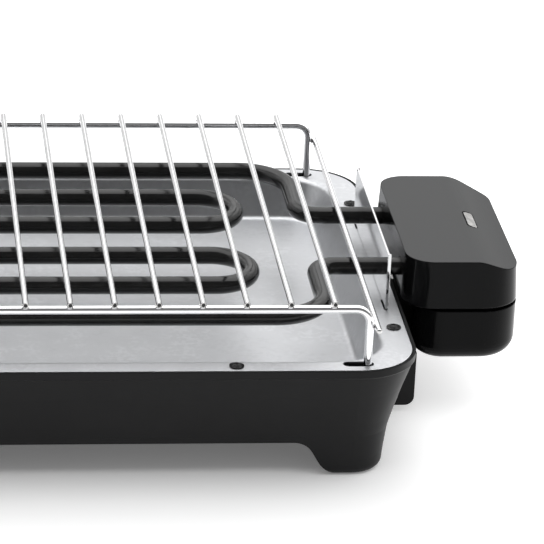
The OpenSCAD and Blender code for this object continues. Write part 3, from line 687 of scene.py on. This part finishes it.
@dataclass(frozen=True)
class OxidisedSheath(GrittySkin):
    """Heating tube with a dark, dry oxide skin."""

    cloud_size: float = 9.0
    shades: Span = (0.85, 1.25)
    gloss_change: Span = (-0.04, 0.04)
    grain: float = 0.45
    depth: float = 0.006
    speck_gap: float = 2.4
    speck: Colour = (0.02, 0.0195, 0.019)
    ior: float | None = 1.38


@dataclass(frozen=True)
class FiredCeramic(GrittySkin):
    """Fired or filled insulating piece with small dark specks."""

    cloud_size: float = 4.0
    shades: Span = (0.93, 1.0)
    gloss_change: Span = (-0.08, 0.08)
    grain: float = 0.35
    depth: float = 0.02
    speck_gap: float = 1.6
    speck_reach: float = 0.13
    speck: Colour = (0.3, 0.27, 0.22)


@dataclass(frozen=True)
class ClearMoulding(Finish):
    """Light-passing moulding, clear or frosted."""

    cloud_size: float = 3.0
    shades: Span = (0.9, 1.0)
    gloss_change: Span = (-0.04, 0.04)
    depth: float = 0.05
    clear: float = 0.5
    ior: float = 1.49

    def material(self) -> bpy.types.Material:
        """Builds faint clouding and moulding waves.

        Returns:
            The material.
        """
        material, wires, shader = self.start()
        cloud = wires.patches(self.cloud_size)
        colour, roughness = self.between(wires, cloud), self.gloss(wires, cloud)
        bump = self.relief(wires, cloud, self.depth)
        wires.fill(shader, Base_Color=colour, Roughness=roughness, Normal=bump)
        wires.fill(shader, Transmission_Weight=self.clear, IOR=self.ior)
        return material


@dataclass(frozen=True)
class SoftSkin(Finish):
    """Rubber or sleeving with a dull bloom."""

    shades: Span = (1.0, 1.8)
    gloss_change: Span = (-0.08, 0.08)
    grain: float = 0.7
    depth: float = 0.015

    def material(self) -> bpy.types.Material:
        """Builds bloom clouds and a soft skin texture.

        Returns:
            The material.
        """
        material, wires, shader = self.start()
        cloud = wires.patches(self.cloud_size)
        grain = wires.effect(Effect.GRAIN, Grain_Size=self.grain)
        colour, roughness = self.between(wires, cloud), self.gloss(wires, cloud)
        bump = self.relief(wires, grain.outputs["Height"], self.depth)
        wires.fill(shader, Base_Color=colour, Roughness=roughness, Normal=bump)
        return material


@dataclass(frozen=True)
class BlackedFastener(Finish):
    """Blackened screw with bright rubs on its edges."""

    cloud_size: float = 2.0
    shades: Span = (0.8, 1.3)
    depth: float = 0.01
    edge: float = 0.25
    rub: Colour = (0.06, 0.06, 0.06)
    ior: float = 1.25

    def material(self) -> bpy.types.Material:
        """Builds the black skin and its rubbed edges.

        Returns:
            The material.
        """
        material, wires, shader = self.start()
        edges = wires.effect(Effect.EDGES, Width=self.edge)
        cloud = wires.patches(self.cloud_size)
        body = self.between(wires, cloud)
        colour = wires.tint(edges.outputs["Mask"], body, self.rub)
        bump = self.relief(wires, cloud, self.depth, edges.outputs["Normal"])
        roughness = self.gloss(wires, cloud)
        wires.fill(shader, Base_Color=colour, Roughness=roughness, IOR=self.ior)
        wires.fill(shader, Normal=bump)
        return material


def in_metres(span: Span) -> Span:
    """Returns a span of millimetres in metres."""
    return tuple(end * MM for end in span)


def principled(material: bpy.types.Material) -> Node:
    """Returns the Principled node of a material."""
    nodes = material.node_tree.nodes
    return next(node for node in nodes if node.type == "BSDF_PRINCIPLED")


def dress(node: str, finish: Finish) -> None:
    """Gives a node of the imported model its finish.

    Args:
        node: the node's name.
        finish: the finish that it gets.
    """
    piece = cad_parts[node]
    material = bpy.data.materials.get(finish.name) or finish.material()
    if not piece.material_slots:
        piece.data.materials.append(material)
    for slot in piece.material_slots:
        slot.material = material
    LOG.info("dressed %s with %s", node, finish.name)


def new_piece(
    name: str, shape: bmesh.types.BMesh, body: Body, finish: Finish
) -> None:
    """Makes a new piece from a mesh and lets it ride.

    Args:
        name: name of the piece.
        shape: its mesh, in metres in the model's frame.
        body: the body that it rides on.
        finish: its finish.
    """
    mesh = bpy.data.meshes.new(name)
    shape.to_mesh(mesh)
    shape.free()
    for face in mesh.polygons:
        face.use_smooth = True
    piece = bpy.data.objects.new(name, mesh)
    bpy.context.scene.collection.objects.link(piece)
    mesh.materials.append(bpy.data.materials.get(finish.name) or finish.material())
    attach(piece, body.value)
    LOG.info("built %s with %d faces", name, len(mesh.polygons))


def drift(seed: int, steps: Point) -> Vector:
    """Returns the place in the noise that a seed starts from."""
    return Vector([seed * step for step in steps])


def ring_at(
    shape: bmesh.types.BMesh, middle: Vector, out: Vector, across: Vector, radius: float
) -> list[bmesh.types.BMVert]:
    """Makes one ring of a tube.

    Args:
        shape: mesh that the ring goes into.
        middle: its centre in metres.
        out: direction of its first corner.
        across: direction of the corner a quarter turn on.
        radius: its radius in metres.

    Returns:
        The corners in order.
    """
    ring = []
    for k in range(RING_SIDES):
        turn = math.tau * k / RING_SIDES
        lean = out * math.cos(turn) + across * math.sin(turn)
        ring.append(shape.verts.new(middle + lean * radius))
    return ring


def join_rings(
    shape: bmesh.types.BMesh, rings: list[list[bmesh.types.BMVert]]
) -> None:
    """Skins a closed row of rings into one closed tube.

    Args:
        shape: mesh that the rings are in.
        rings: the rings in order, all with the same number of corners.
    """
    for i, ring in enumerate(rings):
        following = rings[(i + 1) % len(rings)]
        for k, corner in enumerate(ring):
            after = (k + 1) % len(ring)
            shape.faces.new((corner, ring[after], following[after], following[k]))
    bmesh.ops.recalc_face_normals(shape, faces=shape.faces[:])


@dataclass
class Base:
    """Moulded base with the screwed-in reflector tray."""

    shell: Finish = MouldedPlastic(
        "base_black", (0.008, 0.008, 0.0084), 0.4, ior=1.27, depth=0.007,
        # A top colour a little darker than the body: painted shade on the rim's top
        edge=0.6, rub=1.3, top_roughness=0.85, painted_top_colour=(0.007, 0.007, 0.0073),
    )
    tray: Finish = SheetSteel(
        "tray_satin", (0.57, 0.577, 0.592), 0.43, depth=0.00015, fleck=1.4, haze=0.16
    )
    screws: Finish = BlackedFastener("screw_black", (0.005, 0.005, 0.0053), 0.13)

    def build(self) -> None:
        """Dresses the three nodes of the base."""
        dress("base_shell", self.shell)
        dress("reflector_tray", self.tray)
        dress("tray_screws", self.screws)


@dataclass
class Rack:
    """Wire rack: two frame wires, grate rods, side rods and their welds."""

    rod_d: float = 2.5
    rod_count: int = 23
    bead_long: float = 1.45
    bead_wide: float = 0.8
    bead_high: float = 0.55
    bead_aside: float = 0.9
    bead_lift: float = 0.05
    bead_uneven: float = 0.32
    bead_ripple: float = 1.7
    bead_drift: Point = (3.1, 1.7, 0.9)
    burr_d: float = 0.5
    burr_inset: float = 0.02
    burr_steps: int = 20
    burr_least: float = 0.8
    burr_uneven: float = 0.5
    burr_ripple: float = 1.3
    burr_drift: Point = (2.3, 1.1, 0.0)
    leg_bead: Point = (0.5, 1.3, 0.7)
    leg_bead_up: float = 0.9
    leg_seed: int = 100
    cap_deep: float = 0.8
    cap_uneven: float = 0.04
    wire: Finish = PlatedWire("rack_chrome", (0.8, 0.803, 0.81), 0.05)
    rods: Finish = PlatedWire("rod_chrome", (0.8, 0.803, 0.81), 0.05, ends=1.0)
    weld: Finish = PlatedWire("weld_chrome", (0.72, 0.715, 0.71), 0.2)

    def build(self) -> None:
        """Dresses the wires and adds the resistance welds."""
        dress("rack_front_wire", self.wire)
        dress("rack_rear_wire", self.wire)
        dress("grate_rods", self.rods)
        dress("rack_side_rods", self.wire)
        self.rod_welds()
        self.side_welds()

    def bead(
        self, shape: bmesh.types.BMesh, centre: Vector, size: Point, seed: int,
        uneven: float,
    ) -> None:
        """Adds one uneven squeezed-out weld bead.

        Args:
            shape: mesh that the bead goes into.
            centre: its centre in metres.
            size: its half sizes.
            seed: number that makes this bead differ from the others.
            uneven: how far its surface strays from a smooth one.
        """
        half = Vector(size) * MM
        start = drift(seed, self.bead_drift)
        made = bmesh.ops.create_icosphere(shape, subdivisions=3, radius=1.0)
        for vertex in made["verts"]:
            ripple = noise.noise(vertex.co * self.bead_ripple + start)
            swell = 1.0 + uneven * ripple
            vertex.co = centre + Vector(c * s * swell for c, s in zip(vertex.co, half))

    def burr(self, shape: bmesh.types.BMesh, centre: Vector, seed: int) -> None:
        """Adds the uneven burr that shearing leaves round a rod's end.

        Args:
            shape: mesh that the burr goes into.
            centre: middle of the rod's end in metres.
            seed: number that makes this burr differ from the others.
        """
        start = drift(seed, self.burr_drift)
        along = Vector((0.0, 1.0, 0.0))
        reach = self.rod_d / 2 - self.burr_d / 2 - self.burr_inset
        rings = []
        for i in range(self.burr_steps):
            turn = math.tau * i / self.burr_steps
            out = Vector((math.cos(turn), 0.0, math.sin(turn)))
            ripple = noise.noise(out * self.burr_ripple + start)
            swell = self.burr_least + self.burr_uneven * ripple
            thick = self.burr_d / 2 * min(swell, 1.0) * MM
            middle = centre + out * reach * MM
            rings.append(ring_at(shape, middle, out, along, thick))
        join_rings(shape, rings)

    def rod_welds(self) -> None:
        """Builds the beads and end burrs of the grate rods."""
        low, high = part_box("grate_rods")
        pitch = (high.x - low.x - self.rod_d * MM) / (self.rod_count - 1)
        size = (self.bead_long, self.bead_wide, self.bead_high)
        shape = bmesh.new()
        seed = 0
        for wire in ("rack_front_wire", "rack_rear_wire"):
            w_low, w_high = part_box(wire)
            rail_y = (w_low.y + w_high.y) / 2
            bead_z = w_high.z + self.bead_lift * MM
            end_y = low.y if rail_y < 0 else high.y
            for i in range(self.rod_count):
                x = low.x + self.rod_d * MM / 2 + i * pitch
                for side in (-1, 1):
                    seed += 1
                    centre = Vector((x, rail_y + side * self.bead_aside * MM, bead_z))
                    self.bead(shape, centre, size, seed, self.bead_uneven)
                self.burr(shape, Vector((x, end_y, (low.z + high.z) / 2)), seed)
        new_piece("rod_weld_beads", shape, Body.RACK, self.weld)

    def side_welds(self) -> None:
        """Builds the beads at the rack's legs and the side rods' rounded ends."""
        low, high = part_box("rack_side_rods")
        z = (low.z + high.z) / 2
        shape = bmesh.new()
        seed = self.leg_seed
        for wire in ("rack_front_wire", "rack_rear_wire"):
            w_low, w_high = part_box(wire)
            leg_y = (w_low.y + w_high.y) / 2
            for edge in (w_low.x, w_high.x):
                for up in (-1, 1):
                    seed += 1
                    centre = Vector((edge, leg_y, z + up * self.leg_bead_up * MM))
                    self.bead(shape, centre, self.leg_bead, seed, self.bead_uneven)
        cap = (self.rod_d / 2, self.cap_deep, self.rod_d / 2)
        for x in (low.x + self.rod_d / 2 * MM, high.x - self.rod_d / 2 * MM):
            for y in (low.y, high.y):
                seed += 1
                self.bead(shape, Vector((x, y, z)), cap, seed, self.cap_uneven)
        new_piece("leg_weld_beads", shape, Body.RACK, self.weld)


@dataclass
class HeatingUnit:
    """Element, its strap and shield, and the plate that holds its ends."""

    element: Finish = OxidisedSheath("element_oxide", (0.007, 0.0069, 0.0068), 0.17)
    strap: Finish = SheetSteel(
        "strap_satin", (0.5, 0.5, 0.51), 0.3, stretch=(40.0, 1.0, 40.0)
    )
    shield: Finish = SheetSteel(
        "shield_polish", (0.7, 0.703, 0.71), 0.045, stretch=(30.0, 1.0, 30.0),
        depth=0.0001, wave=0.02, gloss_change=(-0.01, 0.01),
    )
    plate: Finish = SheetSteel(
        "plate_zinc", (0.52, 0.53, 0.54), 0.34, stretch=(30.0, 1.0, 30.0)
    )
    ceramic: Finish = FiredCeramic("ring_ceramic", (0.78, 0.75, 0.68), 0.5)
    cutout: Finish = FiredCeramic("cutout_ceramic", (0.72, 0.70, 0.64), 0.42)

    def build(self) -> None:
        """Dresses the heating pieces."""
        dress("heating_element", self.element)
        dress("element_support", self.strap)
        dress("heat_shield", self.shield)
        for node in (
            "mounting_bracket", "bracket_screws", "terminal_pins", "block_screws"
        ):
            dress(node, self.plate)
        dress("terminal_insulators", self.ceramic)
        dress("thermal_cutout", self.cutout)


@dataclass
class ControlHousing:
    """Two shells with the indicator, switch, block, wires and inlet bush."""

    upper: Finish = MouldedPlastic(
        "housing_satin", (0.0036, 0.0037, 0.004), 0.14, ior=1.2,
        # The default top colour is lighter than the body: painted light on the
        # housing's top
        depth=0.01, edge=0.7, rub=1.8, top_roughness=0.42,
    )
    lower: Finish = MouldedPlastic(
        "housing_gloss", (0.003, 0.003, 0.0032), 0.14, ior=1.18,
        depth=0.002, edge=0.6, rub=1.8,
    )
    screws: Finish = BlackedFastener("case_screw_black", (0.02, 0.02, 0.021), 0.34)
    lens: Finish = ClearMoulding(
        "lens_frost", (0.56, 0.55, 0.535), 0.22, clear=0.3, shades=(0.68, 1.0)
    )
    lamp: Finish = ClearMoulding("lamp_glass", (0.9, 0.42, 0.16), 0.08, clear=0.8)
    block: Finish = FiredCeramic("block_white", (0.7, 0.69, 0.65), 0.38)
    switch: Finish = MouldedPlastic("switch_black", (0.012, 0.012, 0.013), 0.36)
    plunger: Finish = MouldedPlastic(
        "plunger_tan", (0.35, 0.22, 0.06), 0.34, ior=1.45, rub=1.2
    )
    sleeve: Finish = SoftSkin("wire_sleeve", (0.05, 0.11, 0.3), 0.45, shades=(1.0, 1.3))
    bush: Finish = SoftSkin("bush_rubber", (0.012, 0.012, 0.0125), 0.62)
    # A near-black ring that stands in for the shadow in the gap round the lens: painted
    # shadow
    gap_shadow_finish: Finish = MouldedPlastic(
        "gap_shadow_black", (0.0015, 0.0015, 0.0016), 0.5, ior=1.08, depth=0.004
    )
    window: Span = (4.0, 16.6)
    window_r: float = 1.44
    shadow_ring_d: float = 0.74
    shadow_ring_out: float = 0.28
    shadow_ring_sunk: float = 0.2
    shadow_ring_steps: int = 10
    probe_lift: float = 1.0

    def build(self) -> None:
        """Dresses the housing and everything in it."""
        for node, finish in (
            ("housing_upper", self.upper),
            ("housing_lower", self.lower),
            ("housing_screws", self.screws),
            ("indicator_lens", self.lens),
            ("indicator_lamp", self.lamp),
            ("terminal_block", self.block),
            ("micro_switch", self.switch),
            ("switch_plunger", self.plunger),
            ("lead_wires", self.sleeve),
            ("cord_inlet_bush", self.bush),
        ):
            dress(node, finish)
        self.lay_gap_shadow()

    def gap_shadow_path(self) -> list[tuple[Vector, Vector]]:
        """Walks round the window.

        Returns:
            Points of the shadow ring's centre line from above, with outward directions.
        """
        low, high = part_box("indicator_lens")
        middle = (low + high) / 2
        half_x, half_y = (side / 2 - self.window_r for side in self.window)
        reach = (self.window_r + self.shadow_ring_out) * MM
        corners = ((1, 1), (-1, 1), (-1, -1), (1, -1))
        path = []
        for passed, (side_x, side_y) in enumerate(corners):
            x = middle.x + side_x * half_x * MM
            y = middle.y + side_y * half_y * MM
            for i in range(self.shadow_ring_steps + 1):
                share = i / self.shadow_ring_steps
                turn = math.radians(QUARTER_TURN * (passed + share))
                out = Vector((math.cos(turn), math.sin(turn), 0.0))
                path.append((Vector((x, y, 0.0)) + out * reach, out))
        return path

    def lay_gap_shadow(self) -> None:
        """Lays a dark ring into the gap round the window, along the slope, as painted
        shadow in the gap.
        """
        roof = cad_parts["housing_upper"]
        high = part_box("housing_upper")[1].z + self.probe_lift * MM
        upward = Vector((0.0, 0.0, 1.0))
        shape = bmesh.new()
        rings = []
        for point, out in self.gap_shadow_path():
            above = Vector((point.x, point.y, high)) + out * self.shadow_ring_d * MM
            hit, place, _, _ = roof.ray_cast(above, -upward)
            level = (place.z if hit else high) - self.shadow_ring_sunk * MM
            middle = Vector((point.x, point.y, level))
            rings.append(ring_at(shape, middle, out, upward, self.shadow_ring_d / 2 * MM))
        join_rings(shape, rings)
        new_piece("lens_gap_shadow", shape, Body.UNIT, self.gap_shadow_finish)


@dataclass
class Studio:
    """Pale floor, plain soft light and the camera.

    Spans named wall, near and box are parts of the directions that glossy
    surfaces mirror, from -1 to 1.
    """

    eye: Point = (-26.6, -1436.2, 656.0)
    yaw: float = 7.384
    pitch: float = 22.744
    roll: float = 2.798
    focal_px: float = 3587.0
    frame_px: float = 544.0
    sensor: float = 36.0
    clip: Span = (50.0, 60000.0)
    floor_half: float = 9000.0
    floor_colour: Colour = (0.9, 0.9, 0.9)
    floor_lift: float = 0.12
    # Painted shade in reflections: how much darker glossy rays see the floor behind the
    # grill
    mirrored_floor_shade: float = 0.4
    mirrored_shade_y: Span = (130.0, 300.0)
    # Painted light: a glow on the floor beside the control unit that lightens its
    # shadow there
    painted_glow: float = 0.45
    painted_glow_x: Span = (175.0, 230.0)
    painted_glow_y: Span = (-150.0, -40.0)
    ambient: float = 0.42
    wall_low: float = 0.8
    wall_high: float = 1.7
    wall_rise: Span = (0.31, 0.375)
    front: float = 0.2
    near_y: Span = (-0.35, -0.2)
    overhead: float = 3.2
    box_front: Span = (-0.3, -0.2)
    box_back: Span = (0.6, 0.72)
    box_side: Span = (0.6, 0.75)
    box_low: Span = (0.5, 0.6)
    key_radiance: float = 1.15
    key_size: Span = (4600.0, 5400.0)
    key_place: Point = (400.0, 1450.0, 1700.0)

    def build(self) -> None:
        """Makes the camera first, then floor, world and lamp."""
        self.camera()
        self.floor()
        self.world()
        self.lamp()

    def camera(self) -> None:
        """Places the camera where the photograph was taken from."""
        yaw, pitch, roll = (math.radians(a) for a in (self.yaw, self.pitch, self.roll))
        flat = math.cos(pitch)
        ahead = Vector((math.sin(yaw) * flat, math.cos(yaw) * flat, -math.sin(pitch)))
        level = Vector((math.cos(yaw), -math.sin(yaw), 0.0))
        above = level.cross(ahead)
        right = math.cos(roll) * level + math.sin(roll) * above
        up = math.cos(roll) * above - math.sin(roll) * level
        data = bpy.data.cameras.new("camera")
        data.sensor_width = self.sensor
        data.lens = self.focal_px / self.frame_px * self.sensor
        data.clip_start, data.clip_end = (reach * MM for reach in self.clip)
        eye = bpy.data.objects.new("camera", data)
        turn = Matrix((right, up, -ahead)).transposed().to_4x4()
        eye.matrix_world = Matrix.Translation(Vector(self.eye) * MM) @ turn
        bpy.context.scene.collection.objects.link(eye)
        bpy.context.scene.camera = eye

    @staticmethod
    def seen(wires: Wiring) -> Socket:
        """Picks out the rays that the viewer sees, direct, mirrored or through.

        Args:
            wires: wiring of the floor or the world.

        Returns:
            A mask that is 1 for camera, glossy and transmission rays.
        """
        path = wires.add("ShaderNodeLightPath").outputs
        either = wires.maths("MAXIMUM", path["Is Camera Ray"], path["Is Glossy Ray"])
        return wires.maths("MAXIMUM", either, path["Is Transmission Ray"])

    @staticmethod
    def mirrored_only(wires: Wiring) -> Socket:
        """Returns a mask that is 1 for glossy rays."""
        return wires.add("ShaderNodeLightPath").outputs["Is Glossy Ray"]

    def lift_and_painted_glow(self, wires: Wiring) -> Socket:
        """Paints a soft glow onto the floor beside the control unit, painted light that
        lightens the shadow there, and adds the floor's even lift.

        Args:
            wires: the floor's wiring.

        Returns:
            The floor's even lift and the painted glow, by place.
        """
        x, y, _ = wires.split(wires.place())
        across = wires.remap(x, in_metres(self.painted_glow_x), (0.0, self.painted_glow))
        along = wires.remap(y, in_metres(self.painted_glow_y))
        # The painted glow: light painted on the floor beside the control unit
        painted_glow_strength = wires.maths("MULTIPLY", across, along)
        return wires.maths("ADD", painted_glow_strength, self.floor_lift)

    def floor(self) -> None:
        """Lays the pale floor, which keeps the grill's shadow; a painted glow lightens
        it beside the control unit, and glossy rays see it darker behind the grill, a
        painted shade in reflections.
        """
        half = self.floor_half * MM
        mesh = bpy.data.meshes.new("floor")
        corners = ((-half, -half), (half, -half), (half, half), (-half, half))
        mesh.from_pydata([(x, y, 0.0) for x, y in corners], [], [(0, 1, 2, 3)])
        floor = bpy.data.objects.new("floor", mesh)
        bpy.context.scene.collection.objects.link(floor)
        material = bpy.data.materials.new("floor_pale")
        material.use_nodes = True
        wires = Wiring(material.node_tree)
        _, y, _ = wires.split(wires.place())
        # Painted shade that only mirrors see, behind the grill
        painted_behind = wires.remap(y, in_metres(self.mirrored_shade_y), (0.0, self.mirrored_floor_shade))
        painted_mirror_shade = wires.maths("MULTIPLY", painted_behind, self.mirrored_only(wires))
        light = wires.maths("MULTIPLY", self.seen(wires), self.lift_and_painted_glow(wires))
        wires.fill(
            principled(material),
            Base_Color=wires.tint(painted_mirror_shade, self.floor_colour, BLACK),
            Roughness=1.0,
            Specular_IOR_Level=0.0,
            Emission_Color=WHITE,
            Emission_Strength=light,
        )
        mesh.materials.append(material)

    def world(self) -> None:
        """Sets a level ambient light and the white background that is seen."""
        world = bpy.data.worlds.new("studio")
        bpy.context.scene.world = world
        world.use_nodes = True
        wires = Wiring(world.node_tree)
        ground = next(n for n in world.node_tree.nodes if n.type == "BACKGROUND")
        strength = wires.maths("MULTIPLY", self.seen(wires), 1.0 - self.ambient)
        level = wires.maths("ADD", strength, self.ambient)
        glossy = self.mirrored_only(wires)
        level = wires.put_between(glossy, level, self.mirrored(wires))
        wires.fill(ground, Color=WHITE, Strength=level)

    def mirrored(self, wires: Wiring) -> Socket:
        """Shapes the studio that glossy surfaces mirror: walls, ceiling and box.

        Args:
            wires: the world's wiring.

        Returns:
            Strength of the mirrored studio in each direction.
        """
        around = wires.add("ShaderNodeTexCoord").outputs["Generated"]
        x, y, z = wires.split(around)
        wall = wires.remap(z, self.wall_rise, (self.wall_low, self.wall_high))
        near = wires.remap(y, self.near_y, FALLING)
        room = wires.put_between(near, wall, self.front)
        box = wires.remap(y, self.box_front)
        for value, span, to in (
            (y, self.box_back, FALLING),
            (wires.maths("ABSOLUTE", x), self.box_side, FALLING),
            (z, self.box_low, RISING),
        ):
            box = wires.maths("MULTIPLY", box, wires.remap(value, span, to))
        return wires.put_between(box, room, self.overhead)

    def lamp(self) -> None:
        """Hangs the large level soft box above and behind the grill."""
        data = bpy.data.lights.new("key", "AREA")
        data.shape = "RECTANGLE"
        data.size, data.size_y = in_metres(self.key_size)
        power = self.key_radiance * WATTS_PER_RADIANCE
        data.energy = power * data.size * data.size_y
        key = bpy.data.objects.new("key", data)
        key.matrix_world = Matrix.Translation(Vector(self.key_place) * MM)
        key.visible_glossy = False
        bpy.context.scene.collection.objects.link(key)


def main() -> None:
    """Builds the studio and dresses every part of the grill."""
    logging.basicConfig(level=logging.INFO, format="%(name)s: %(message)s")
    settings = bpy.context.scene.view_settings
    settings.view_transform = "Standard"
    Studio().build()
    for part in (Base(), Rack(), HeatingUnit(), ControlHousing()):
        part.build()


if __name__ == "__main__":
    main()
